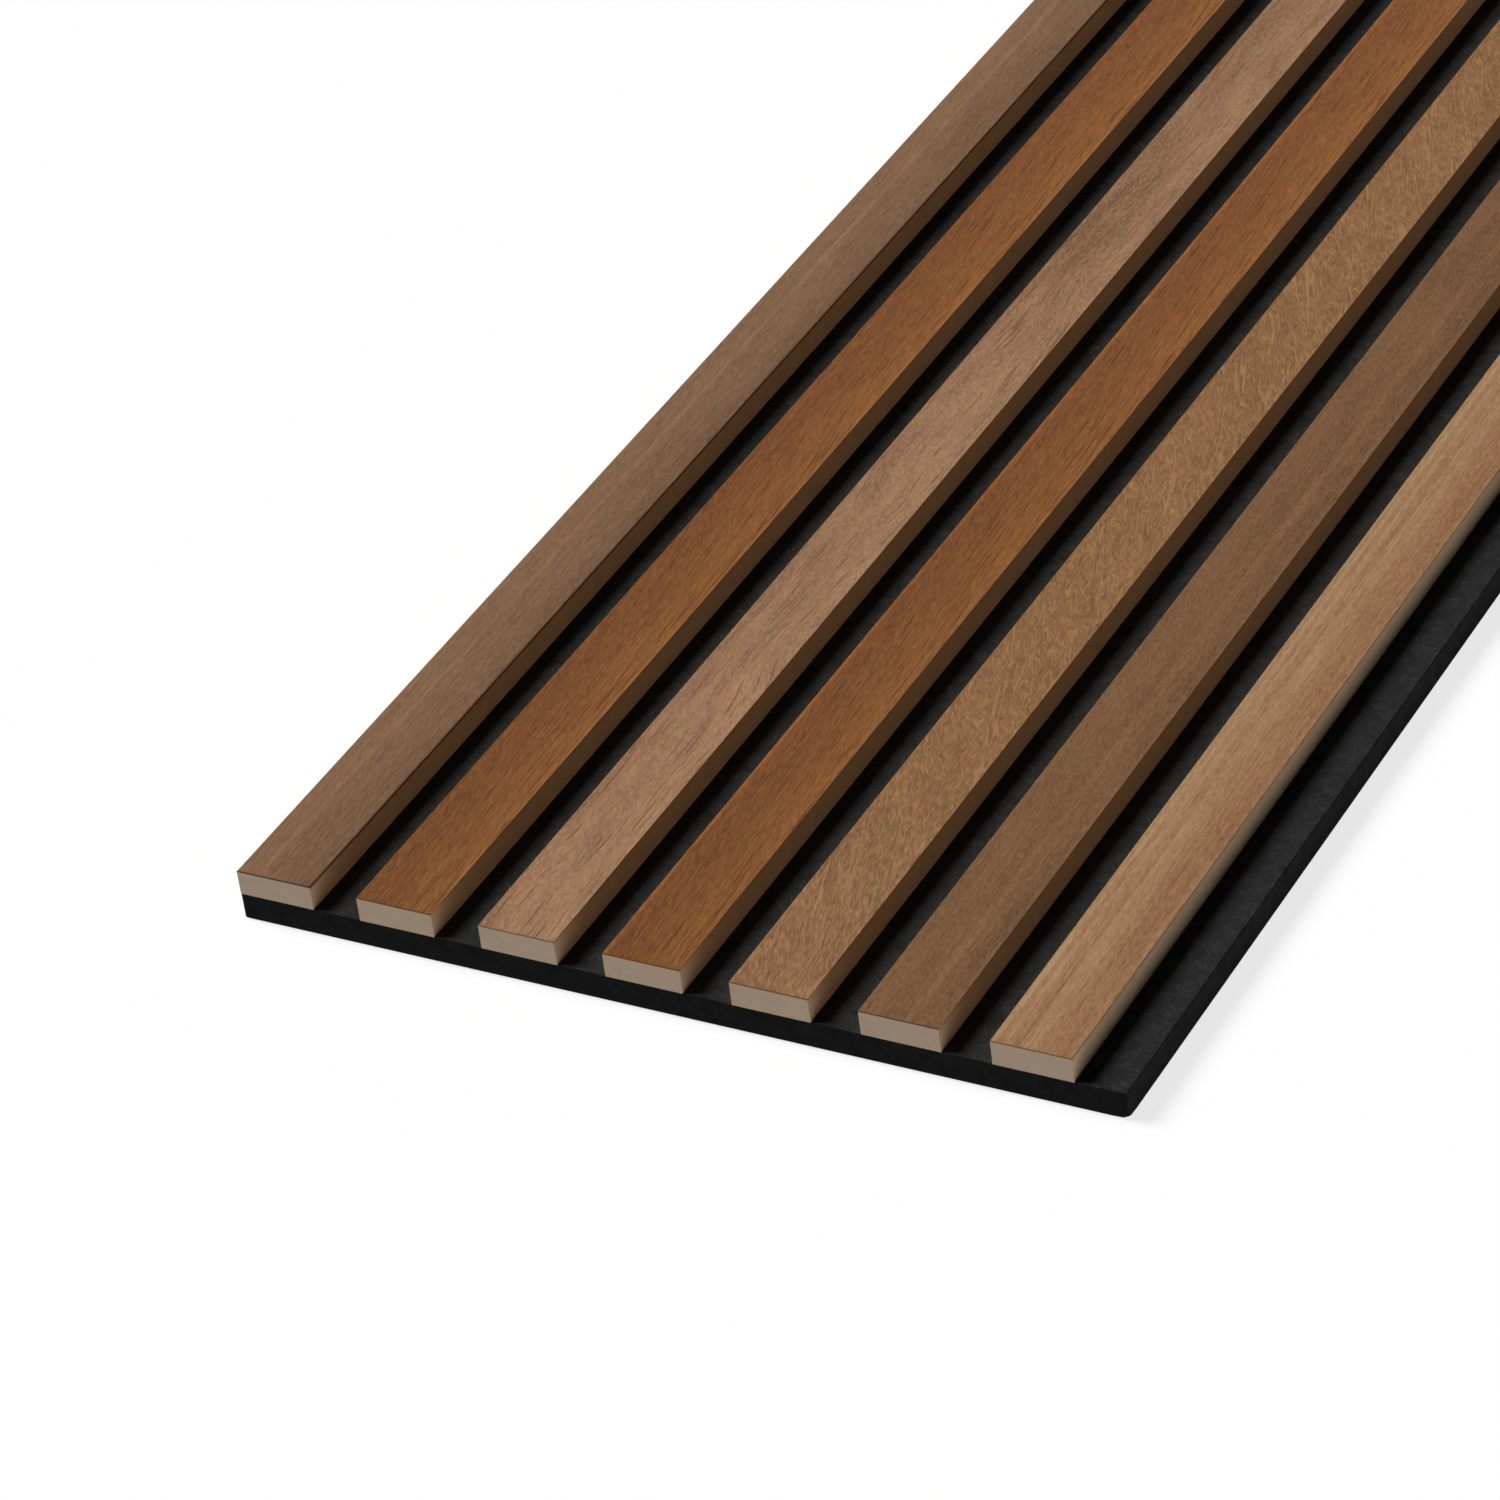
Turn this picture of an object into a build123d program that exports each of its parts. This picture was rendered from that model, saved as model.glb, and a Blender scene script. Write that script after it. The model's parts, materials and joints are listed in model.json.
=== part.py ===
"""Slatted acoustic wall panel: veneered fibreboard slats stapled to a felt board.

The panel lies on its back. X runs across the slats, Y runs along them and +Z points out of the
visible face. The origin is the centre of the felt board's back. All sizes are in millimetres.
"""

import os

from build123d import *

# Slats
SLAT_COUNT = 7
SLAT_WIDTH = 24.5
SLAT_GAP = 15.5
PANEL_LENGTH = 600.0
CORE_THICKNESS = 7.4
VENEER_THICKNESS = 0.6
VENEER_ARRIS = 0.2  # rounding sanded on the veneer's long top edges

# Felt board
FELT_THICKNESS = 9.0
FELT_BACK_ROUND = 1.0  # soft edge all round the back
FELT_CORNER_ROUND = 2.0  # upright corners on the side with the bare lap

# Staples, driven through the felt into the cores
STAPLE_ROWS = 4
STAPLE_END_DISTANCE = 45.0  # from the panel's ends to the first and last rows
STAPLE_CROWN = 10.0
STAPLE_WIRE_WIDTH = 1.2
STAPLE_WIRE_THICKNESS = 0.6
STAPLE_BEND_ROUND = 0.5
STAPLE_POINT = 0.8  # height of the slanted leg tips
STAPLE_SINK = 0.3  # how far the crown lies below the back of the felt
STAPLE_COVER = 2.5  # core left between the leg tips and the veneer
STAPLE_CLEARANCE = 0.05  # round the wire, in the felt and in the cores

# Places that follow from the sizes above
slat_pitch = SLAT_WIDTH + SLAT_GAP
felt_width = SLAT_COUNT * slat_pitch  # the last gap is the bare lap beside the last slat
slat_group_x = -SLAT_GAP / 2  # middle of all the slats, the first one flush with the felt
core_top = FELT_THICKNESS + CORE_THICKNESS
staple_row_pitch = (PANEL_LENGTH - 2 * STAPLE_END_DISTANCE) / (STAPLE_ROWS - 1)
staple_leg_pitch = STAPLE_CROWN - STAPLE_WIRE_THICKNESS
staple_tip_z = core_top - STAPLE_COVER
leg_hole_x = STAPLE_WIRE_THICKNESS + 2 * STAPLE_CLEARANCE
leg_hole_y = STAPLE_WIRE_WIDTH + 2 * STAPLE_CLEARANCE


def slat_x(number):
    """Centre line of a slat, counted from 1 at the flush side."""
    return slat_group_x + (number - (SLAT_COUNT + 1) / 2) * slat_pitch


def write(part, name):
    """Label a finished piece and write it as its own STEP file."""
    part.label = name
    export_step(part, f"parts/{name}.step")


os.makedirs("parts", exist_ok=True)

# Felt board, with a recess for each staple crown and holes for its two legs
with BuildPart() as felt_backing:
    with BuildSketch() as board:
        Rectangle(felt_width, PANEL_LENGTH)
    extrude(amount=FELT_THICKNESS)
    upright_edges = felt_backing.edges().filter_by(Axis.Z)
    fillet(upright_edges.group_by(Axis.X)[-1], radius=FELT_CORNER_ROUND)
    fillet(felt_backing.faces().sort_by(Axis.Z)[0].edges(), radius=FELT_BACK_ROUND)
    with BuildSketch() as crown_recesses:
        with Locations((slat_group_x, 0)):
            with GridLocations(slat_pitch, staple_row_pitch, SLAT_COUNT, STAPLE_ROWS):
                Rectangle(STAPLE_CROWN + 2 * STAPLE_CLEARANCE, leg_hole_y)
    extrude(amount=STAPLE_SINK + STAPLE_WIRE_THICKNESS + STAPLE_CLEARANCE, mode=Mode.SUBTRACT)
    with BuildSketch() as leg_holes:
        with Locations((slat_group_x, 0)):
            with GridLocations(slat_pitch, staple_row_pitch, SLAT_COUNT, STAPLE_ROWS):
                with GridLocations(staple_leg_pitch, 0, 2, 1):
                    Rectangle(leg_hole_x, leg_hole_y)
    extrude(amount=FELT_THICKNESS, mode=Mode.SUBTRACT)
write(felt_backing.part, "felt_backing")

for number in range(1, SLAT_COUNT + 1):
    # Fibreboard core, sawn to length, with blind holes for the staple legs in its underside
    with BuildPart() as slat_core:
        with BuildSketch(Plane.XY.offset(FELT_THICKNESS)) as strip:
            with Locations((slat_x(number), 0)):
                Rectangle(SLAT_WIDTH, PANEL_LENGTH)
        extrude(amount=CORE_THICKNESS)
        with BuildSketch(Plane.XY.offset(FELT_THICKNESS)) as leg_sockets:
            with Locations((slat_x(number), 0)):
                with GridLocations(staple_leg_pitch, staple_row_pitch, 2, STAPLE_ROWS):
                    Rectangle(leg_hole_x, leg_hole_y)
        extrude(amount=staple_tip_z + STAPLE_CLEARANCE - FELT_THICKNESS, mode=Mode.SUBTRACT)
    write(slat_core.part, f"slat_core_{number}")

    # Veneer on the core's top face, with its long edges eased
    with BuildPart() as slat_veneer:
        with BuildSketch(Plane.XY.offset(core_top)) as face:
            with Locations((slat_x(number), 0)):
                Rectangle(SLAT_WIDTH, PANEL_LENGTH)
        extrude(amount=VENEER_THICKNESS)
        top_edges = slat_veneer.faces().sort_by(Axis.Z)[-1].edges()
        fillet(top_edges.filter_by(Axis.Y), radius=VENEER_ARRIS)
    write(slat_veneer.part, f"slat_veneer_{number}")

# One staple of flat wire, crown down, with slanted tips
with BuildPart() as staple:
    with BuildSketch(Plane.XZ) as wire:
        with BuildLine() as half_outline:
            Polyline(
                (0, STAPLE_SINK),
                (STAPLE_CROWN / 2, STAPLE_SINK),
                (STAPLE_CROWN / 2, staple_tip_z - STAPLE_POINT),
                (STAPLE_CROWN / 2 - STAPLE_WIRE_THICKNESS, staple_tip_z),
                (STAPLE_CROWN / 2 - STAPLE_WIRE_THICKNESS, STAPLE_SINK + STAPLE_WIRE_THICKNESS),
                (0, STAPLE_SINK + STAPLE_WIRE_THICKNESS),
            )
            mirror(about=Plane.YZ)
        make_face()
        fillet(wire.vertices().group_by(Axis.Y)[0], radius=STAPLE_BEND_ROUND)
    extrude(amount=STAPLE_WIRE_WIDTH / 2, both=True)

with BuildPart() as rear_staples:
    with Locations((slat_group_x, 0)):
        with GridLocations(slat_pitch, staple_row_pitch, SLAT_COUNT, STAPLE_ROWS):
            add(staple.part)
write(rear_staples.part, "rear_staples")
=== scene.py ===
"""Looks of the slatted acoustic panel: veneers, fibreboard, felt, staples, camera and light.

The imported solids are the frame. The slats and the staples keep their solids and get materials here,
and the felt is made again as a soft board. Lengths whose names end in _MM are in millimetres, and so
are the sizes of marks in the materials. Other lengths are in metres. The axes are the frame's own:
X across the slats, Y along them, Z out of the visible face.
"""

import json
import math
from dataclasses import dataclass, replace

import bmesh
import bpy
from mathutils import Matrix, Vector, noise


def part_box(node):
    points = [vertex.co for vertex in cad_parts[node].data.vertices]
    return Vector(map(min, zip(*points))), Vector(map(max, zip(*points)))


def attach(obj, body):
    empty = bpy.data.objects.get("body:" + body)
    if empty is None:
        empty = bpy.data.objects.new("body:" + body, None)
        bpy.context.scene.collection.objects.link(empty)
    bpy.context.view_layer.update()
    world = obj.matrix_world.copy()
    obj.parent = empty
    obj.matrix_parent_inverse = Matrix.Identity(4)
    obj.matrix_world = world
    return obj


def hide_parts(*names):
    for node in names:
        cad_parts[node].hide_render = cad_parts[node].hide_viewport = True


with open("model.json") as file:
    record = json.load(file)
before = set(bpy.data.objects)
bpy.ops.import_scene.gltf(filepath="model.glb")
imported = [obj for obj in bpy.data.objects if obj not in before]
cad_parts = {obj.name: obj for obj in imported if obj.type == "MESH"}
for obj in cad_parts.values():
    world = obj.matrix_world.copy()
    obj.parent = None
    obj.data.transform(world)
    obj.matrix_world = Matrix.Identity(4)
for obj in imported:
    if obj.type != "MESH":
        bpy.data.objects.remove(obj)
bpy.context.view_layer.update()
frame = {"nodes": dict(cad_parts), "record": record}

MM = 0.001

# Camera, from the fit of its place to the slat edges in the photo
LENS_MM = 151.15
SENSOR_MM = 36.0
CAMERA_PLACE = Vector((0.769068, -1.470272, 1.053041))
CAMERA_AIM = Vector((-0.025791, -0.199237, 0.017))
CAMERA_ROLL = math.radians(-7.89)
CAMERA_NEAR = 0.05
CAMERA_FAR = 50.0

# Light: a soft key from the left, a lit white table that throws light back up, and a dim room
KEY_STRENGTH = 3.95
KEY_ELEVATION = math.radians(47.5)
KEY_AZIMUTH = math.radians(6)  # from the left towards the near ends
KEY_SOFTNESS = math.radians(27)
ROOM_LIGHT = 0.05
FLOOR_PAINT = 0.88
FLOOR_GLOW = 0.64
FLOOR_WHITE_SHARE = 0.78  # of what the camera sees of the floor; the rest keeps the shadow
FLOOR_HALF = 4.0
FLOOR_DROP = 0.0002

# Slats and staples, as the solids have them
slat_low, slat_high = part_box("slat_veneer_1")
next_slat_low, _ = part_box("slat_veneer_2")
staples_low, staples_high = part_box("rear_staples")
SLAT_WIDTH_MM = (slat_high.x - slat_low.x) / MM
SLAT_PITCH_MM = (next_slat_low.x - slat_low.x) / MM
SLAT_LEFT_MM = slat_low.x / MM
SLAT_TOP_MM = slat_high.z / MM
SLAT_END_MM = slat_high.y / MM
SLAT_COUNT = sum(name.startswith("slat_veneer_") for name in frame["nodes"])
EDGE_MM = SLAT_WIDTH_MM / 2  # from a slat's middle to its long edges
LAP_LEFT_MM = SLAT_LEFT_MM + SLAT_PITCH_MM * (SLAT_COUNT - 1) + SLAT_WIDTH_MM
STAPLE_ROWS = 4
STAPLE_WIRE_MM = 1.2

# Felt board
FELT_GRID_MM = 3.0
FELT_GRID_DIGITS = 4  # lines that agree to so many digits are one
FELT_EDGE_LINES_MM = (0.0, 0.1, 0.3, 0.6, 1.0, 2.0)  # closer grid lines by the edges
FELT_SIDE_LINES_MM = (0.0, 0.1, 0.3, 0.6, 1.0, 3.0, 6.0)  # up from the back
FELT_RIM_LINES_MM = (0.6, 0.3, 0.1, 0.0)  # down from the face
FELT_TOP_ROUND_MM = 0.3
FELT_BACK_ROUND_MM = 1.0
FELT_LAP_CORNER_MM = (3.0, 0.8)  # at the back and at the face
FELT_FLUSH_CORNER_MM = 0.3
FELT_SWELL_MM = 0.15  # rise of the open felt beside the slats that press on it
FELT_SWELL_RUN_MM = 4.0
FELT_WAVE_MM = 0.08
FELT_WAVE_LENGTH_MM = 14.0
RECESS_LENGTH_MM = 10.1
RECESS_WIDTH_MM = 1.3
RECESS_DEPTH_MM = 0.95
DIMPLE_MM = 0.25  # felt drawn in round each staple
DIMPLE_RUN_MM = 3.0
FACING_DOWN = -0.5  # a face whose direction has less than this in Z is on the back


# Node helpers

MIDDLE = 0.5  # of a tone, a hue and Blender's noise, which all run from 0 to 1
UNCHANGED = (1.0, 1.0, 1.0)  # leaves a colour as it is when multiplied


class Shader:
    """Node tree of one material, with a short call for each kind of node that the looks need."""

    def __init__(self, name, specular):
        self.material = bpy.data.materials.new(name)
        self.material.use_nodes = True
        self.nodes = self.material.node_tree.nodes
        self.links = self.material.node_tree.links
        self.bsdf = self.nodes["Principled BSDF"]
        self.bsdf.inputs["Specular IOR Level"].default_value = specular
        self.texture_place = self.nodes.new("ShaderNodeTexCoord")
        in_mm = self.nodes.new("ShaderNodeVectorMath")
        in_mm.operation = "SCALE"
        in_mm.inputs["Scale"].default_value = 1 / MM
        self.links.new(self.texture_place.outputs["Object"], in_mm.inputs[0])
        self.x, self.y, self.z = self.parts(in_mm.outputs[0])

    def put(self, value, socket):
        """Link an output, or set a plain number or colour, on a socket."""
        if isinstance(value, bpy.types.NodeSocket):
            self.links.new(value, socket)
        elif isinstance(value, tuple):
            socket.default_value = (*value, 1.0)
        else:
            socket.default_value = value

    def parts(self, vector):
        """The three parts of a vector."""
        split = self.nodes.new("ShaderNodeSeparateXYZ")
        self.links.new(vector, split.inputs[0])
        return split.outputs

    def normal(self):
        """The three parts of the surface's direction in the frame's axes."""
        return self.parts(self.texture_place.outputs["Normal"])

    def math(self, operation, *values):
        """One arithmetic step."""
        made = self.nodes.new("ShaderNodeMath")
        made.operation = operation
        for value, socket in zip(values, made.inputs):
            self.put(value, socket)
        return made.outputs[0]

    def add(self, *values):
        """Sum of all the values."""
        total = values[0]
        for value in values[1:]:
            total = self.math("ADD", total, value)
        return total

    def less(self, value, taken):
        """The value with another taken from it."""
        return self.math("SUBTRACT", value, taken)

    def scaled(self, value, by):
        """The value times a number or another value."""
        return self.math("MULTIPLY", value, by)

    def size_of(self, value):
        """The value without its sign."""
        return self.math("ABSOLUTE", value)

    def step(self, value, low, high):
        """0 at low, 1 at high, smooth between."""
        made = self.nodes.new("ShaderNodeMapRange")
        made.interpolation_type = "SMOOTHSTEP"
        for name, number in (("From Min", low), ("From Max", high)):
            self.put(number, made.inputs[name])
        self.put(value, made.inputs["Value"])
        return made.outputs[0]

    def noise(self, x, y, z, size, detail=2.0, roughness=0.5):
        """Noise about 0, for marks of the given size in mm along each axis."""
        place = self.nodes.new("ShaderNodeCombineXYZ")
        for value, length, socket in zip((x, y, z), size, place.inputs):
            self.put(self.scaled(value, 1 / length), socket)
        made = self.nodes.new("ShaderNodeTexNoise")
        self.put(place.outputs[0], made.inputs["Vector"])
        self.put(1.0, made.inputs["Scale"])
        self.put(detail, made.inputs["Detail"])
        self.put(roughness, made.inputs["Roughness"])
        return self.less(made.outputs[0], MIDDLE)

    def mix(self, amount, first, second, blend="MIX"):
        """From the first colour to the second, or to their blend, by an amount from 0 to 1."""
        made = self.nodes.new("ShaderNodeMix")
        made.data_type = "RGBA"
        made.blend_type = blend
        for value, index in ((amount, 0), (first, 6), (second, 7)):
            self.put(value, made.inputs[index])
        return made.outputs[2]

    def tones(self, value, dark, middle, light):
        """Colour for a tone: dark at 0, middle at a half, light at 1."""
        made = self.nodes.new("ShaderNodeValToRGB")
        stops = made.color_ramp.elements
        stops.new(MIDDLE)
        for stop, colour in zip(stops, (dark, middle, light)):
            stop.color = (*colour, 1.0)
        self.links.new(value, made.inputs[0])
        return made.outputs[0]

    def finish(self, colour, roughness, height, depth_mm):
        """Join the colour, roughness and bump to the surface and return the material."""
        bump = self.nodes.new("ShaderNodeBump")
        self.put(depth_mm * MM, bump.inputs["Distance"])
        self.put(height, bump.inputs["Height"])
        self.put(colour, self.bsdf.inputs["Base Color"])
        self.put(roughness, self.bsdf.inputs["Roughness"])
        self.put(bump.outputs[0], self.bsdf.inputs["Normal"])
        return self.material


def times(colour, factors):
    """A colour with each part multiplied by its factor."""
    return tuple(part * factor for part, factor in zip(colour, factors))


# Veneers: shades, multiplied with a veneer's own colour

TONE_DARK = (0.5, 0.45, 0.4)
TONE_LIGHT = (1.5, 1.55, 1.6)
HUE_OLIVE = (0.96, 1.07, 0.96)
HUE_ROSY = (1.04, 0.935, 1.04)
PORE_SHADE = (0.52, 0.4, 0.32)
RAY_SHEEN = (1.4, 1.5, 1.6)
BLUSH = (1.12, 0.86, 0.78)
NEAR_PALE = (1.05, 1.07, 1.2)

# Veneers: marks. A size is (across, along) or has all three axes, levels bound a step in the noise
MARK_DEPTH_MM = 50.0  # marks run straight down into the sheet
STREAK_SIZE = (0.9, 110.0)
LINE_SIZE = (0.5, 13.0)
HUE_SIZE = (2.5, 9.0)
WANDER_SIZE = (30.0, 90.0, 30.0)
FLECK_LEAN = 0.12  # flecks cross the grain at a slight slant
FLECK_RELIEF = 0.6  # height of the flecks beside the depth of the pores
CURL_SIZE = (4.0, 4.5)
CURL_NEAR_LOSS = 0.7  # share of the curl that is gone at the near end
PORE_SOFTNESS = 0.07
BAND_FADE_SIZE = (40.0, 50.0, 40.0)
BAND_STRENGTH = 0.8
BAND_FADING = 2.0  # how much a band's strength changes from place to place
PATCH_FLECKS = 0.5  # weight of the stronger flecks in a patch
BLUSH_SIZE = (2.2, 4.5)
BLUSH_LEVELS = (0.12, 0.28)
BLUSH_SIDE_MM = (-2.0, 6.0)  # from a slat's middle, where the blush sets in
RAY_LEAN = 0.1
RAY_RIPPLE_MM = 1.6
RAY_RIPPLE_SIZE = (7.0, 9.0)
RAY_PATH_SIZE = (3.6, 50.0)
RAY_PLACE_SIZE = (4.0, 18.0)
RAY_PLACE_LEVELS = (-0.06, 0.06)
RAY_LEVELS = (0.028, 0.004)
RAY_SHADE = 0.45  # weight of the shade beside a ray
RAY_SHADE_OFFSET = 0.04  # of the shade from its ray, in the noise that both follow

# Veneers: edges, ends and surface
NEAR_RUN_MM = 150.0  # how far changes towards the near end reach
END_LINE_MM = 0.4  # dark line along the sawn ends, on the face and below it
FACE_TURN = (0.7, 0.97)  # from an edge to a face, by how far the surface looks up
END_TURN = (0.4, 0.7)  # from a side to an end, by how far the surface looks along Y
VENEER_SPECULAR = 0.08
VENEER_ROUGHNESS = 0.6
FLECK_ROUGHNESS = 0.25
PORE_ROUGHNESS = 0.12
VENEER_RELIEF_MM = 0.03


@dataclass(frozen=True)
class Band:
    """Pale or dark strip along a slat; a narrow pale one at a long edge is a painted highlight. The
    place is from the slat's middle, sizes are in mm.
    """

    place: float
    half_width: float
    tone: float
    near_shift: float = 0.0  # how far from its place the strip lies at the near end


@dataclass(frozen=True)
class Patch:
    """Pale or dark oval on a slat. The place is from the slat's middle, sizes are in mm."""

    across: float
    along: float
    half_width: float
    half_length: float
    tone: float


@dataclass(frozen=True)
class Veneer:
    """Figure of one veneer. Sizes are (across, along) in mm, weights are shares of the tone."""

    colour: tuple
    dark: tuple = TONE_DARK
    light: tuple = TONE_LIGHT
    end: float = 0.5  # share of the colour along the sawn ends
    edge: tuple = (0.46, 0.24, 0.095)  # long edges of the sheet
    slope: float = 0.0  # tone from the slat's left edge to its right edge
    rise: float = 0.0  # tone from the slat's near end to its far end
    # by default a pale strip runs along the right edge: a painted highlight
    bands: tuple = (Band(EDGE_MM, 0.9, 0.1),)
    patch: Patch = None
    hue: float = 0.8
    hue_slope: float = 0.0  # rosier to the right
    lean: float = 0.0  # sideways run of the grain for each mm along
    bend: float = 0.0  # growth of the lean for each mm along
    swing: float = 3.0  # sideways wander of the grain
    clouds: float = 0.35
    cloud_size: tuple = (7.0, 45.0)
    streaks: float = 0.2
    lines: float = 0.35
    flecks: float = 0.95
    fleck_size: tuple = (0.46, 2.2)
    curl: float = 0.0  # sideways wander of the flecks
    pores: float = 0.3
    pore_size: tuple = (0.6, 14.0)
    pore_level: float = 0.1  # noise above this is a pore
    pore_slope: float = 0.0  # more pores to the right
    rays: float = 0.0
    blush: float = 0.0
    pale: float = 0.0  # share of paler wood at the near end


# Narrow pale bands at EDGE_MM, along a slat's right edge, are painted highlights.
VENEERS = {
    "veneer_grey_brown": Veneer(
        colour=(0.191, 0.103, 0.0544),
        end=0.22,
        edge=(0.13, 0.042, 0.008),
        slope=-0.25,
        bands=(Band(-4.1, 1.3, 0.27, -1.2), Band(EDGE_MM, 0.9, -0.65)),
        hue=1.3,
        streaks=0.3,
        fleck_size=(0.42, 3.0),
        pores=0.2,
    ),
    "veneer_russet": Veneer(
        colour=(0.198, 0.0765, 0.0222),
        slope=0.44,
        rise=0.12,
        bands=(Band(-EDGE_MM, 6.0, 0.1), Band(EDGE_MM, 1.2, 0.7)),
        hue=1.2,
        hue_slope=-0.3,
        lean=0.05,
        swing=5.0,
        clouds=0.15,
        streaks=0.05,
        lines=0.55,
        flecks=1.3,
        fleck_size=(0.36, 3.2),
        pores=0.7,
        pore_size=(0.4, 20.0),
        pore_slope=0.08,
    ),
    "veneer_rose": Veneer(
        colour=(0.291, 0.158, 0.0863),
        slope=0.15,
        rise=-0.17,
        patch=Patch(across=-3.0, along=105.0, half_width=18.0, half_length=65.0, tone=-0.24),
        hue=1.3,
        swing=22.0,
        clouds=0.6,
        cloud_size=(5.0, 30.0),
        streaks=0.15,
        flecks=1.0,
        curl=2.0,
        pores=0.6,
        pore_size=(0.75, 24.0),
        pore_level=0.12,
    ),
    "veneer_golden": Veneer(
        colour=(0.235, 0.1185, 0.0498),
        dark=(0.6, 0.56, 0.52),
        light=(1.62, 1.68, 1.76),
        bands=(Band(EDGE_MM, 1.4, 0.14),),
        hue=1.4,
        lean=0.28,
        bend=0.0005,
        swing=6.0,
        cloud_size=(9.0, 16.0),
        streaks=0.1,
        lines=0.3,
        flecks=1.55,
        fleck_size=(0.52, 3.2),
        curl=5.0,
        pores=0.0,
        rays=0.85,
        pale=1.0,
    ),
    "veneer_umber": Veneer(
        colour=(0.163, 0.0808, 0.0374),
        slope=-0.08,
        rise=-0.2,
        bands=(
            Band(2.4, 1.2, 0.22, -0.2),
            Band(3.7, 1.2, 0.19, -0.4),
            Band(-6.8, 2.0, 0.06),
            Band(9.0, 2.8, -0.07),
            Band(EDGE_MM, 1.2, 0.16),
        ),
        hue=1.2,
        clouds=0.45,
        streaks=0.15,
        flecks=1.15,
        pores=0.15,
    ),
    "veneer_tan": Veneer(
        colour=(0.3, 0.16, 0.0787),
        dark=(0.58, 0.44, 0.35),
        light=(1.36, 1.58, 1.76),
        edge=(0.36, 0.21, 0.12),
        slope=-0.25,
        bands=(
            Band(-EDGE_MM, 1.6, 0.12),
            Band(-9.9, 1.2, 0.26, -1.3),
            Band(-7.0, 1.2, 0.22, -1.1),
            Band(-4.1, 0.7, -0.12),
            Band(-2.1, 2.2, 0.19),
            Band(0.2, 1.9, 0.17),
            Band(8.6, 3.0, -0.06),
            Band(EDGE_MM, 1.2, 0.08),
        ),
        hue_slope=0.14,
        streaks=0.4,
        lines=0.4,
        flecks=0.9,
        fleck_size=(0.46, 2.7),
        pores=0.15,
        blush=0.45,
    ),
}

# Slats whose veneer differs from the others of its kind. Slat 4 has a painted highlight, the pale
# band along its left edge.
OWN_LOOKS = {
    "slat_veneer_4": replace(
        VENEERS["veneer_russet"],
        bands=(Band(-EDGE_MM, 6.0, 0.13), Band(-EDGE_MM, 1.8, 0.62), Band(EDGE_MM, 1.0, 0.1)),
    ),
}


def grain_noise(s, x, size, detail=2.0):
    """Noise about 0 on a veneer, for marks of the given size (across, along) in mm."""
    return s.noise(x, s.y, s.z, (*size, MARK_DEPTH_MM), detail)


def towards_near_end(s):
    """1 at a slat's near end, 0 where the changes towards that end begin."""
    return s.step(s.y, NEAR_RUN_MM - SLAT_END_MM, -SLAT_END_MM)


def across_slat(s):
    """Place across a slat, from its middle."""
    from_left = s.math("FLOORED_MODULO", s.less(s.x, SLAT_LEFT_MM), SLAT_PITCH_MM)
    return s.less(from_left, EDGE_MM)


def across_grain(s, look):
    """Place across the grain, which leans, bends and wanders along the slat."""
    wander = s.noise(s.x, s.y, s.z, WANDER_SIZE, detail=1.0)
    lean = s.add(look.lean, s.scaled(s.y, look.bend / 2))
    return s.add(s.x, s.scaled(wander, look.swing), s.scaled(s.y, lean))


def fleck_marks(s, look, grain_x):
    """Short flecks at a slant to the grain, curled where the veneer has a curl."""
    fleck_x = s.add(grain_x, s.scaled(s.y, FLECK_LEAN))
    if look.curl:
        kept = s.less(1.0, s.scaled(towards_near_end(s), CURL_NEAR_LOSS))
        curl = s.scaled(grain_noise(s, s.x, CURL_SIZE, detail=1.0), kept)
        fleck_x = s.add(fleck_x, s.scaled(curl, look.curl))
    return grain_noise(s, fleck_x, look.fleck_size, detail=1.0)


def veneer_tone(s, look, across, grain_x, flecks):
    """Tone of a veneer's face: 0 is dark, a half is its own colour, 1 is light."""
    tone = s.add(
        MIDDLE,
        s.scaled(across, look.slope / SLAT_WIDTH_MM),
        s.scaled(s.y, look.rise / (2 * SLAT_END_MM)),
        s.scaled(grain_noise(s, grain_x, look.cloud_size), look.clouds),
        s.scaled(grain_noise(s, grain_x, STREAK_SIZE), look.streaks),
        s.scaled(grain_noise(s, grain_x, LINE_SIZE), look.lines),
        s.scaled(flecks, look.flecks),
    )
    fading = s.add(BAND_STRENGTH, s.scaled(s.noise(s.x, s.y, s.z, BAND_FADE_SIZE), BAND_FADING))
    for band in look.bands:
        place = s.add(band.place, s.scaled(towards_near_end(s), band.near_shift))
        strip = s.step(s.size_of(s.less(across, place)), band.half_width, 0.0)
        tone = s.add(tone, s.scaled(s.scaled(strip, fading), band.tone))
    if look.patch:
        patch = look.patch
        off_across = s.scaled(s.less(across, patch.across), 1 / patch.half_width)
        off_along = s.scaled(s.less(s.y, patch.along), 1 / patch.half_length)
        off_squared = s.add(s.scaled(off_across, off_across), s.scaled(off_along, off_along))
        depth = s.step(s.math("SQRT", off_squared), 1.0, 0.0)
        more_flecks = s.scaled(depth, s.scaled(flecks, PATCH_FLECKS))
        tone = s.add(tone, s.scaled(depth, patch.tone), more_flecks)
    return tone


def ground_colour(s, look, across, grain_x):
    """A veneer's own colour with its drift of hue, its paler near end and its blush."""
    hue = s.add(
        MIDDLE,
        s.scaled(grain_noise(s, grain_x, HUE_SIZE), look.hue),
        s.scaled(across, look.hue_slope / SLAT_WIDTH_MM),
    )
    colour = s.mix(hue, times(look.colour, HUE_OLIVE), times(look.colour, HUE_ROSY))
    if look.pale:
        colour = s.mix(s.scaled(towards_near_end(s), look.pale), colour, NEAR_PALE, "MULTIPLY")
    if look.blush:
        spots = s.step(grain_noise(s, grain_x, BLUSH_SIZE, detail=1.0), *BLUSH_LEVELS)
        on_right = s.step(across, *BLUSH_SIDE_MM)
        spots = s.scaled(s.scaled(spots, on_right), look.blush)
        colour = s.mix(spots, colour, times(look.colour, BLUSH))
    return colour


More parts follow.
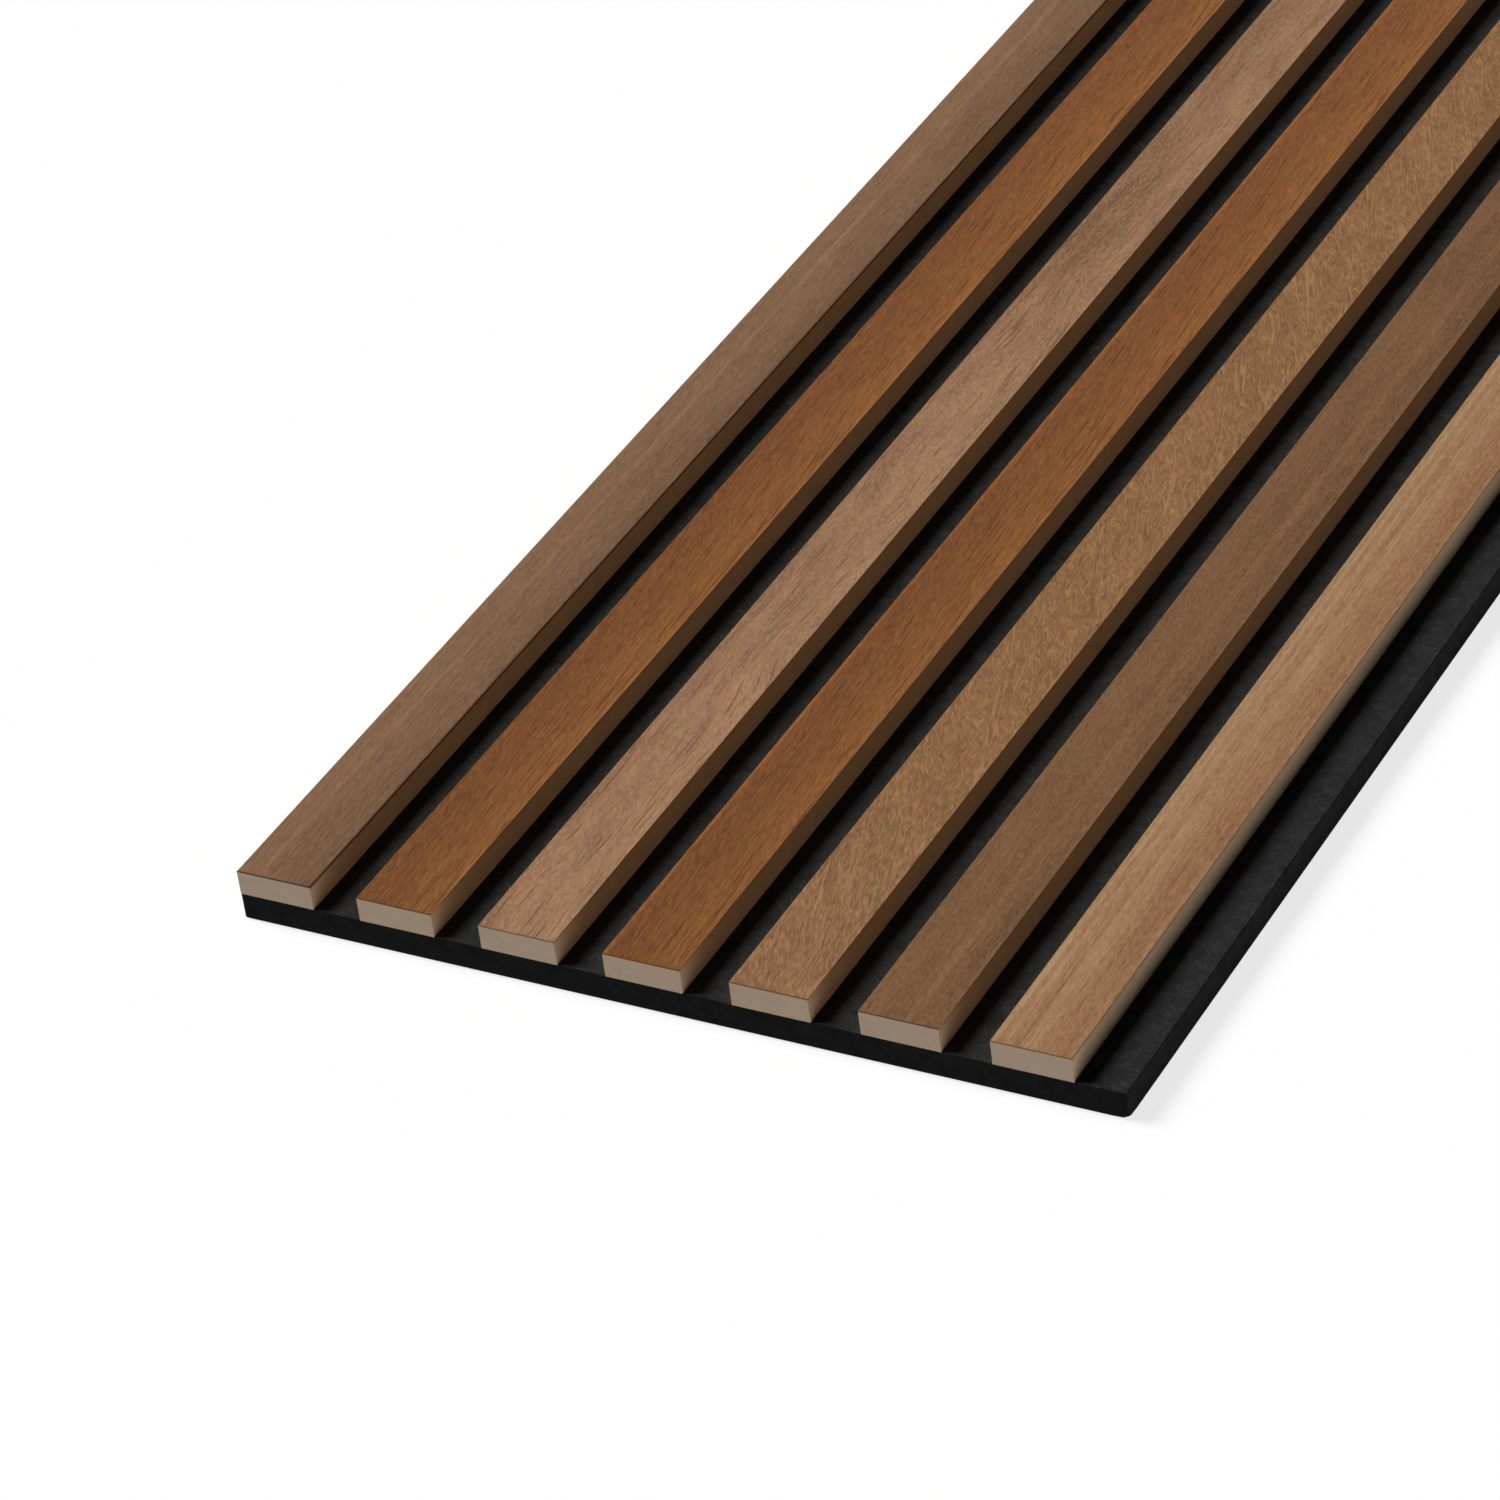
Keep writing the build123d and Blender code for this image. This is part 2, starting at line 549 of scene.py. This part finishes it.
def pore_marks(s, look, across, grain_x):
    """Long fine pores along the grain."""
    more_right = s.scaled(across, look.pore_slope / SLAT_WIDTH_MM)
    marks = s.add(grain_noise(s, grain_x, look.pore_size, detail=1.0), more_right)
    return s.step(marks, look.pore_level, look.pore_level + PORE_SOFTNESS)


def ray_lines(s, grain_x):
    """Thin pale rays that cross the grain here and there, and the shade beside each one."""
    ripple = grain_noise(s, s.x, RAY_RIPPLE_SIZE, detail=1.0)
    ray_x = s.add(grain_x, s.scaled(s.y, RAY_LEAN), s.scaled(ripple, RAY_RIPPLE_MM))
    paths = grain_noise(s, ray_x, RAY_PATH_SIZE, detail=1.0)
    places = s.step(grain_noise(s, ray_x, RAY_PLACE_SIZE, detail=1.0), *RAY_PLACE_LEVELS)
    rays = s.step(s.size_of(paths), *RAY_LEVELS)
    shade = s.step(s.size_of(s.less(paths, RAY_SHADE_OFFSET)), *RAY_LEVELS)
    return s.scaled(rays, places), s.scaled(shade, places)


def with_edges(s, look, colour):
    """The colour with the sheet's long edges, its sawn ends and the dark line along the ends."""
    _, facing_along, facing_up = s.normal()
    colour = s.mix(s.step(facing_up, *FACE_TURN), look.edge, colour)
    on_end = s.step(s.size_of(facing_along), *END_TURN)
    colour = s.mix(on_end, colour, FIBREBOARD_END)
    by_face = s.step(s.z, SLAT_TOP_MM - END_LINE_MM, SLAT_TOP_MM - END_LINE_MM / 2)
    by_end = s.step(s.size_of(s.y), SLAT_END_MM - END_LINE_MM, SLAT_END_MM - END_LINE_MM / 2)
    end_line = s.scaled(by_face, by_end)
    return s.mix(end_line, colour, times(look.colour, (look.end, look.end, look.end)))


def veneer_material(name, look):
    """Veneer: clouds, bands, streaks and flecks set its tone, pores darken it, rays lighten it."""
    s = Shader(name, VENEER_SPECULAR)
    across = across_slat(s)
    grain_x = across_grain(s, look)
    flecks = fleck_marks(s, look, grain_x)
    tone = veneer_tone(s, look, across, grain_x, flecks)
    shades = s.tones(tone, look.dark, UNCHANGED, look.light)
    colour = s.mix(1.0, ground_colour(s, look, across, grain_x), shades, "MULTIPLY")

    shaded = times(look.colour, PORE_SHADE)
    pores = pore_marks(s, look, across, grain_x)
    colour = s.mix(s.scaled(pores, look.pores), colour, shaded)
    relief = s.less(s.scaled(flecks, FLECK_RELIEF), pores)
    if look.rays:
        rays, shade = ray_lines(s, grain_x)
        colour = s.mix(s.scaled(shade, look.rays * RAY_SHADE), colour, shaded)
        colour = s.mix(s.scaled(rays, look.rays), colour, times(look.colour, RAY_SHEEN))
        relief = s.add(relief, rays)

    colour = with_edges(s, look, colour)
    roughness = s.add(
        VENEER_ROUGHNESS, s.scaled(flecks, FLECK_ROUGHNESS), s.scaled(pores, PORE_ROUGHNESS)
    )
    return s.finish(colour, roughness, relief, VENEER_RELIEF_MM)


# Fibreboard

FIBREBOARD_END = (0.312, 0.236, 0.172)
FIBREBOARD_SIDE = (0.465, 0.308, 0.187)
FIBREBOARD_PAINTED_LIT_SIDE = (0.525, 0.364, 0.222)  # painted light: paler, greyer side colour on the last slat's open side beside the lap, standing in for the fuller light there
FIBREBOARD_DARK = (0.62, 0.6, 0.58)
FIBREBOARD_LIGHT = (1.35, 1.38, 1.4)
PAINTED_LIT_SIDE_STEP_MM = (-0.2, -0.1)  # from the last slat's right side, where the painted-light side colour sets in
SPECK_SIZE = (0.5, 0.5, 0.35)
SPECK_DETAIL = 3.0
SPECK_HARSHNESS = 0.7
SPECK_TONE = 0.3
BOARD_PATCH_SIZE = (6.0, 6.0, 3.0)
BOARD_PATCH_TONE = 0.25
FIBREBOARD_SPECULAR = 0.05
FIBREBOARD_ROUGHNESS = 0.85
SPECK_ROUGHNESS = 0.15
FIBREBOARD_RELIEF_MM = 0.05


def fibreboard_material():
    """Sawn fibreboard: pale grey-brown ends, browner ripped sides with painted light on the open side
    beside the lap, fine fibre specks.
    """
    s = Shader("fibreboard", FIBREBOARD_SPECULAR)
    specks = s.noise(s.x, s.y, s.z, SPECK_SIZE, SPECK_DETAIL, SPECK_HARSHNESS)
    patches = s.noise(s.x, s.y, s.z, BOARD_PATCH_SIZE)
    tone = s.add(MIDDLE, s.scaled(specks, SPECK_TONE), s.scaled(patches, BOARD_PATCH_TONE))
    # painted light: the last slat's open right side gets a paler, greyer copy of the side colour
    painted_light_beside_lap = s.step(s.x, *(LAP_LEFT_MM + off for off in PAINTED_LIT_SIDE_STEP_MM))
    colour = s.mix(painted_light_beside_lap, FIBREBOARD_SIDE, FIBREBOARD_PAINTED_LIT_SIDE)
    _, facing_along, _ = s.normal()
    on_end = s.step(s.size_of(facing_along), *END_TURN)
    colour = s.mix(on_end, colour, FIBREBOARD_END)
    shades = s.tones(tone, FIBREBOARD_DARK, UNCHANGED, FIBREBOARD_LIGHT)
    colour = s.mix(1.0, colour, shades, "MULTIPLY")
    roughness = s.add(FIBREBOARD_ROUGHNESS, s.scaled(specks, SPECK_ROUGHNESS))
    return s.finish(colour, roughness, specks, FIBREBOARD_RELIEF_MM)


# Felt

FELT_TOP = (0.0235, 0.0235, 0.0235)
FELT_FIBRE = (0.06, 0.06, 0.06)
FELT_CUT_END = (0.0088, 0.0088, 0.0088)
FELT_CUT_SIDE = (0.0185, 0.0185, 0.0185)
FELT_DARK = (0.6, 0.6, 0.6)
FELT_LIGHT = (1.4, 1.4, 1.4)
FELT_CUT_TURN = (0.4, 0.8)  # from the face to a cut, by how far the surface looks sideways
FELT_PATCH_SIZE = (5.0, 5.0, 5.0)
FELT_PATCH_DETAIL = 3.0
FELT_PATCH_TONE = 1.1
FIBRE_RUNS = ((20, 5.0), (75, 4.0), (130, 6.0), (165, 4.5))  # turn in degrees, length in mm
FIBRE_BEND_MM = 3.0
FIBRE_WIDTH_MM = 0.45
FIBRE_DEPTH_MM = 1.5
FIBRE_LEVELS = (0.05, 0.2)
FIBRE_SHARE = 0.5  # of the fibres' own colour
FELT_SPECULAR = 0.0
FELT_ROUGHNESS = 0.93
FELT_PATCH_ROUGHNESS = 0.1
FELT_RELIEF_MM = 0.12


def fibre_marks(s, patches):
    """Short bent fibres that lie in several directions."""
    bend = s.scaled(patches, FIBRE_BEND_MM)
    fibres = 0.0
    for turn_deg, length in FIBRE_RUNS:
        turn = math.radians(turn_deg)
        along = s.add(s.scaled(s.x, math.cos(turn)), s.scaled(s.y, math.sin(turn)), bend)
        aside = s.add(s.scaled(s.y, math.cos(turn)), s.scaled(s.x, -math.sin(turn)), bend)
        strand = s.noise(along, aside, s.z, (length, FIBRE_WIDTH_MM, FIBRE_DEPTH_MM))
        fibres = s.math("MAXIMUM", s.step(strand, *FIBRE_LEVELS), fibres)
    return fibres


def felt_material():
    """Pressed felt: charcoal with soft patches and short pale fibres, darker on the cut ends."""
    s = Shader("felt", FELT_SPECULAR)
    patches = s.noise(s.x, s.y, s.z, FELT_PATCH_SIZE, FELT_PATCH_DETAIL)
    fibres = fibre_marks(s, patches)
    colour = s.mix(s.scaled(fibres, FIBRE_SHARE), FELT_TOP, FELT_FIBRE)
    facing_aside, facing_along, _ = s.normal()
    colour = s.mix(s.step(s.size_of(facing_aside), *FELT_CUT_TURN), colour, FELT_CUT_SIDE)
    colour = s.mix(s.step(s.size_of(facing_along), *FELT_CUT_TURN), colour, FELT_CUT_END)
    tone = s.add(MIDDLE, s.scaled(patches, FELT_PATCH_TONE))
    shades = s.tones(tone, FELT_DARK, UNCHANGED, FELT_LIGHT)
    colour = s.mix(1.0, colour, shades, "MULTIPLY")
    roughness = s.add(FELT_ROUGHNESS, s.scaled(patches, FELT_PATCH_ROUGHNESS))
    return s.finish(colour, roughness, s.add(fibres, patches), FELT_RELIEF_MM)


# Staple wire

STAPLE_DARK = (0.42, 0.43, 0.44)
STAPLE_MIDDLE = (0.58, 0.59, 0.6)
STAPLE_LIGHT = (0.72, 0.73, 0.74)
DRAWN_SIZE = (4.0, 0.12, 4.0)
DRAWN_DETAIL = 3.0
DRAWN_TONE = 0.5
DULL_SIZE = (1.5, 1.5, 1.5)
DULL_TONE = 0.6
STAPLE_SPECULAR = 0.5
STAPLE_ROUGHNESS = 0.38
DULL_ROUGHNESS = 0.3
STAPLE_RELIEF_MM = 0.02


def staple_material():
    """Galvanised staple wire: grey metal with drawn streaks and duller patches."""
    s = Shader("staple_steel", STAPLE_SPECULAR)
    s.bsdf.inputs["Metallic"].default_value = 1.0
    drawn = s.noise(s.x, s.y, s.z, DRAWN_SIZE, DRAWN_DETAIL)
    dull = s.noise(s.x, s.y, s.z, DULL_SIZE)
    tone = s.add(MIDDLE, s.scaled(drawn, DRAWN_TONE), s.scaled(dull, DULL_TONE))
    colour = s.tones(tone, STAPLE_DARK, STAPLE_MIDDLE, STAPLE_LIGHT)
    roughness = s.add(STAPLE_ROUGHNESS, s.scaled(dull, DULL_ROUGHNESS))
    return s.finish(colour, roughness, drawn, STAPLE_RELIEF_MM)


def dress(node, material):
    """Give a solid of the frame its material."""
    for slot in frame["nodes"][node].material_slots:
        slot.material = material


# Felt board


def smooth(part):
    """From 0 to 1 with level ends."""
    part = min(1.0, max(0.0, part))
    return part * part * (3 - 2 * part)


def grid_lines(low, high, extra):
    """Even lines from low to high, closer ones by both ends, and the extra ones."""
    margin = FELT_EDGE_LINES_MM[-1]
    count = round((high - low - 2 * margin) / FELT_GRID_MM)
    even = [low + margin + (high - low - 2 * margin) * i / count for i in range(count + 1)]
    by_low = [low + inset for inset in FELT_EDGE_LINES_MM]
    by_high = [high - inset for inset in FELT_EDGE_LINES_MM]
    return sorted({round(line, FELT_GRID_DIGITS) for line in (*even, *by_low, *by_high, *extra)})


def add_box(shape, xs, ys, zs):
    """Add a closed box to the mesh, its faces divided at the given lines."""
    points = {}

    def add_face(*corners):
        for corner in corners:
            if corner not in points:
                i, j, k = corner
                points[corner] = shape.verts.new((xs[i], ys[j], zs[k]))
        shape.faces.new([points[corner] for corner in corners])

    last_x, last_y, last_z = len(xs) - 1, len(ys) - 1, len(zs) - 1
    for i in range(last_x):
        for j in range(last_y):
            for k in (0, last_z):
                add_face((i, j, k), (i + 1, j, k), (i + 1, j + 1, k), (i, j + 1, k))
        for k in range(last_z):
            for j in (0, last_y):
                add_face((i, j, k), (i + 1, j, k), (i + 1, j, k + 1), (i, j, k + 1))
    for j in range(last_y):
        for k in range(last_z):
            for i in (0, last_x):
                add_face((i, j, k), (i, j + 1, k), (i, j + 1, k + 1), (i, j, k + 1))
    bmesh.ops.recalc_face_normals(shape, faces=shape.faces[:])


def round_edge(place, half, radius, axes):
    """Pull a box point in, so that the box's edges between two axes become round."""
    outs = [max(0.0, abs(place[axis]) - (half[axis] - radius)) for axis in axes]
    if min(outs) > 0:
        keep = max(outs) / math.hypot(*outs)
        for axis, out in zip(axes, outs):
            place[axis] = math.copysign(half[axis] - radius + out * keep, place[axis])


def felt_rise(x, y):
    """How far the felt's face stands up: pressed flat under the slats, swollen between them."""
    from_slat = (x - SLAT_LEFT_MM) % SLAT_PITCH_MM - SLAT_WIDTH_MM
    to_next = SLAT_PITCH_MM - SLAT_WIDTH_MM - from_slat
    on_lap = x > LAP_LEFT_MM - SLAT_WIDTH_MM
    free = smooth((from_slat if on_lap else min(from_slat, to_next)) / FELT_SWELL_RUN_MM)
    wave = noise.noise((x / FELT_WAVE_LENGTH_MM, y / FELT_WAVE_LENGTH_MM, 0.0))
    return free * (FELT_SWELL_MM + FELT_WAVE_MM * wave)


def dimple(x, y, staple_places):
    """How far the felt's back is drawn in near a staple."""
    deepest = 0.0
    for staple_x, staple_y in staple_places:
        past_end = max(0.0, abs(x - staple_x) - RECESS_LENGTH_MM / 2)
        past_side = max(0.0, abs(y - staple_y) - RECESS_WIDTH_MM / 2)
        near = 1 - math.hypot(past_end, past_side) / DIMPLE_RUN_MM
        deepest = max(deepest, smooth(near))
    return DIMPLE_MM * deepest


def staple_lines():
    """Places of the staples across the panel and along it."""
    first = staples_low.y / MM + STAPLE_WIRE_MM / 2
    last = staples_high.y / MM - STAPLE_WIRE_MM / 2
    xs = [SLAT_LEFT_MM + EDGE_MM + SLAT_PITCH_MM * i for i in range(SLAT_COUNT)]
    ys = [first + (last - first) * i / (STAPLE_ROWS - 1) for i in range(STAPLE_ROWS)]
    return xs, ys


def felt_box(shape, low, high, staple_xs, staple_ys):
    """Add the felt's plain box, divided along the slats and the recesses."""
    half_widths = (RECESS_LENGTH_MM / 2, EDGE_MM)
    x_extra = [x + side * half for x in staple_xs for half in half_widths for side in (-1, 1)]
    y_extra = [y + side * RECESS_WIDTH_MM / 2 for y in staple_ys for side in (-1, 1)]
    z_lines = (*FELT_SIDE_LINES_MM, *(high.z - inset for inset in FELT_RIM_LINES_MM))
    add_box(shape, grid_lines(low.x, high.x, x_extra), grid_lines(low.y, high.y, y_extra), z_lines)
    for face in shape.faces:
        face.smooth = True


def sink_recesses(shape, staple_places):
    """Push the felt's back in where the staple crowns lie."""

    def in_recess(face):
        centre = face.calc_center_median()
        return face.normal.z < FACING_DOWN and any(
            abs(centre.x - x) < RECESS_LENGTH_MM / 2 and abs(centre.y - y) < RECESS_WIDTH_MM / 2
            for x, y in staple_places
        )

    floors = [face for face in shape.faces if in_recess(face)]
    pushed = bmesh.ops.extrude_face_region(shape, geom=floors)["geom"]
    bmesh.ops.delete(shape, geom=floors, context="FACES")
    for item in pushed:
        if isinstance(item, bmesh.types.BMVert):
            item.co.z += RECESS_DEPTH_MM
        elif isinstance(item, bmesh.types.BMFace):
            item.smooth = False


def order_faces(shape):
    """Sort the faces by place, because the recess walls come in another order in each run."""
    by_place = sorted(shape.faces, key=lambda face: face.calc_center_median().to_tuple())
    for rank, face in enumerate(by_place):
        face.index = rank
    shape.faces.sort()


def soften(shape, low, high, staple_places):
    """Round the box's edges, swell its face, draw its back in, and bring it to metres."""
    middle, half = (low + high) / 2, (high - low) / 2
    at_back, at_face = FELT_LAP_CORNER_MM
    for vertex in shape.verts:
        x, y, z = vertex.co
        place = vertex.co - middle
        edge_round = FELT_TOP_ROUND_MM if place.z > 0 else FELT_BACK_ROUND_MM
        corner_round = FELT_FLUSH_CORNER_MM
        if place.x > 0:
            corner_round = at_back + (at_face - at_back) * (z - low.z) / (high.z - low.z)
        round_edge(place, half, edge_round, (0, 2))
        round_edge(place, half, edge_round, (1, 2))
        round_edge(place, half, corner_round, (0, 1))
        if z == high.z:
            place.z += felt_rise(x, y)
        elif z == low.z:
            place.z += dimple(x, y, staple_places)
        vertex.co = (place + middle) * MM


def felt_board(material):
    """The felt: soft edges, swollen between the slats, drawn in and recessed at each staple."""
    low, high = (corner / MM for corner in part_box("felt_backing"))
    staple_xs, staple_ys = staple_lines()
    staple_places = [(x, y) for x in staple_xs for y in staple_ys]
    shape = bmesh.new()
    felt_box(shape, low, high, staple_xs, staple_ys)
    sink_recesses(shape, staple_places)
    order_faces(shape)
    soften(shape, low, high, staple_places)

    mesh = bpy.data.meshes.new("felt_board")
    shape.to_mesh(mesh)
    shape.free()
    mesh.materials.append(material)
    board = bpy.data.objects.new("felt_board", mesh)
    bpy.context.scene.collection.objects.link(board)
    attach(board, "root")
    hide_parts("felt_backing")


# Stage


def camera():
    """Camera at the photo's place, rolled as the photo is."""
    data = bpy.data.cameras.new("camera")
    data.lens = LENS_MM
    data.sensor_width = SENSOR_MM
    data.clip_start = CAMERA_NEAR
    data.clip_end = CAMERA_FAR
    made = bpy.data.objects.new("camera", data)
    look = (CAMERA_AIM - CAMERA_PLACE).to_track_quat("-Z", "Y").to_matrix().to_4x4()
    roll = Matrix.Rotation(CAMERA_ROLL, 4, "Z")
    made.matrix_world = Matrix.Translation(CAMERA_PLACE) @ look @ roll
    bpy.context.scene.collection.objects.link(made)
    bpy.context.scene.camera = made


def key_light():
    """Soft parallel light from the left, a little from the front."""
    data = bpy.data.lights.new("key", "SUN")
    data.energy = KEY_STRENGTH
    data.angle = KEY_SOFTNESS
    made = bpy.data.objects.new("key", data)
    flat = math.cos(KEY_ELEVATION)
    source = Vector((
        -flat * math.cos(KEY_AZIMUTH), -flat * math.sin(KEY_AZIMUTH), math.sin(KEY_ELEVATION)
    ))
    made.rotation_euler = source.to_track_quat("Z", "Y").to_euler()
    bpy.context.scene.collection.objects.link(made)


def seen_directly(nodes, links):
    """1 for rays that show the background: from the camera, off gloss and through glass."""
    path = nodes.new("ShaderNodeLightPath")
    total = path.outputs["Is Camera Ray"]
    for name in ("Is Glossy Ray", "Is Transmission Ray"):
        either = nodes.new("ShaderNodeMath")
        either.operation = "MAXIMUM"
        links.new(total, either.inputs[0])
        links.new(path.outputs[name], either.inputs[1])
        total = either.outputs[0]
    return total


def room():
    """White to the eye, dim as a light."""
    world = bpy.data.worlds.new("room")
    bpy.context.scene.world = world
    world.use_nodes = True
    nodes, links = world.node_tree.nodes, world.node_tree.links
    background = nodes["Background"]
    background.inputs["Color"].default_value = (1.0, 1.0, 1.0, 1.0)
    strength = nodes.new("ShaderNodeMapRange")
    strength.inputs["To Min"].default_value = ROOM_LIGHT
    strength.inputs["To Max"].default_value = 1.0
    links.new(seen_directly(nodes, links), strength.inputs["Value"])
    links.new(strength.outputs[0], background.inputs["Strength"])


def floor_material():
    """Lit white table: it throws light up, and looks white with the panel's shadow on it."""
    material = bpy.data.materials.new("floor")
    material.use_nodes = True
    nodes, links = material.node_tree.nodes, material.node_tree.links
    nodes.remove(nodes["Principled BSDF"])

    def diffuse(shade):
        made = nodes.new("ShaderNodeBsdfDiffuse")
        made.inputs["Color"].default_value = (shade, shade, shade, 1.0)
        return made

    def emission(strength):
        made = nodes.new("ShaderNodeEmission")
        made.inputs["Strength"].default_value = strength
        return made

    def joined(kind, *shaders):
        made = nodes.new(kind)
        for shader, socket in zip(shaders, [i for i in made.inputs if i.type == "SHADER"]):
            links.new(shader.outputs[0], socket)
        return made

    lit = joined("ShaderNodeAddShader", diffuse(FLOOR_PAINT), emission(FLOOR_GLOW))
    seen = joined("ShaderNodeMixShader", diffuse(1.0), emission(1.0))
    seen.inputs[0].default_value = FLOOR_WHITE_SHARE
    both = joined("ShaderNodeMixShader", lit, seen)
    links.new(seen_directly(nodes, links), both.inputs[0])
    links.new(both.outputs[0], nodes["Material Output"].inputs["Surface"])
    return material


def floor():
    """Large level floor just under the panel."""
    mesh = bpy.data.meshes.new("floor")
    signs = [(-1, -1), (1, -1), (1, 1), (-1, 1)]
    corners = [(x * FLOOR_HALF, y * FLOOR_HALF, -FLOOR_DROP) for x, y in signs]
    mesh.from_pydata(corners, [], [(0, 1, 2, 3)])
    mesh.materials.append(floor_material())
    made = bpy.data.objects.new("floor", mesh)
    bpy.context.scene.collection.objects.link(made)


camera()
key_light()
room()
floor()

materials = {slot: veneer_material(slot, look) for slot, look in VENEERS.items()}
materials["fibreboard"] = fibreboard_material()
materials["staple_steel"] = staple_material()
for part in frame["record"]["subparts"]:
    node, slot = part["node"], part["material_slot"]
    # slat 4's own look adds a painted highlight along its left edge
    if node in OWN_LOOKS:
        dress(node, veneer_material(f"{slot}_painted_edge_highlight", OWN_LOOKS[node]))
    elif slot in materials:
        dress(node, materials[slot])
felt_board(felt_material())

bpy.context.scene.view_settings.view_transform = "Standard"
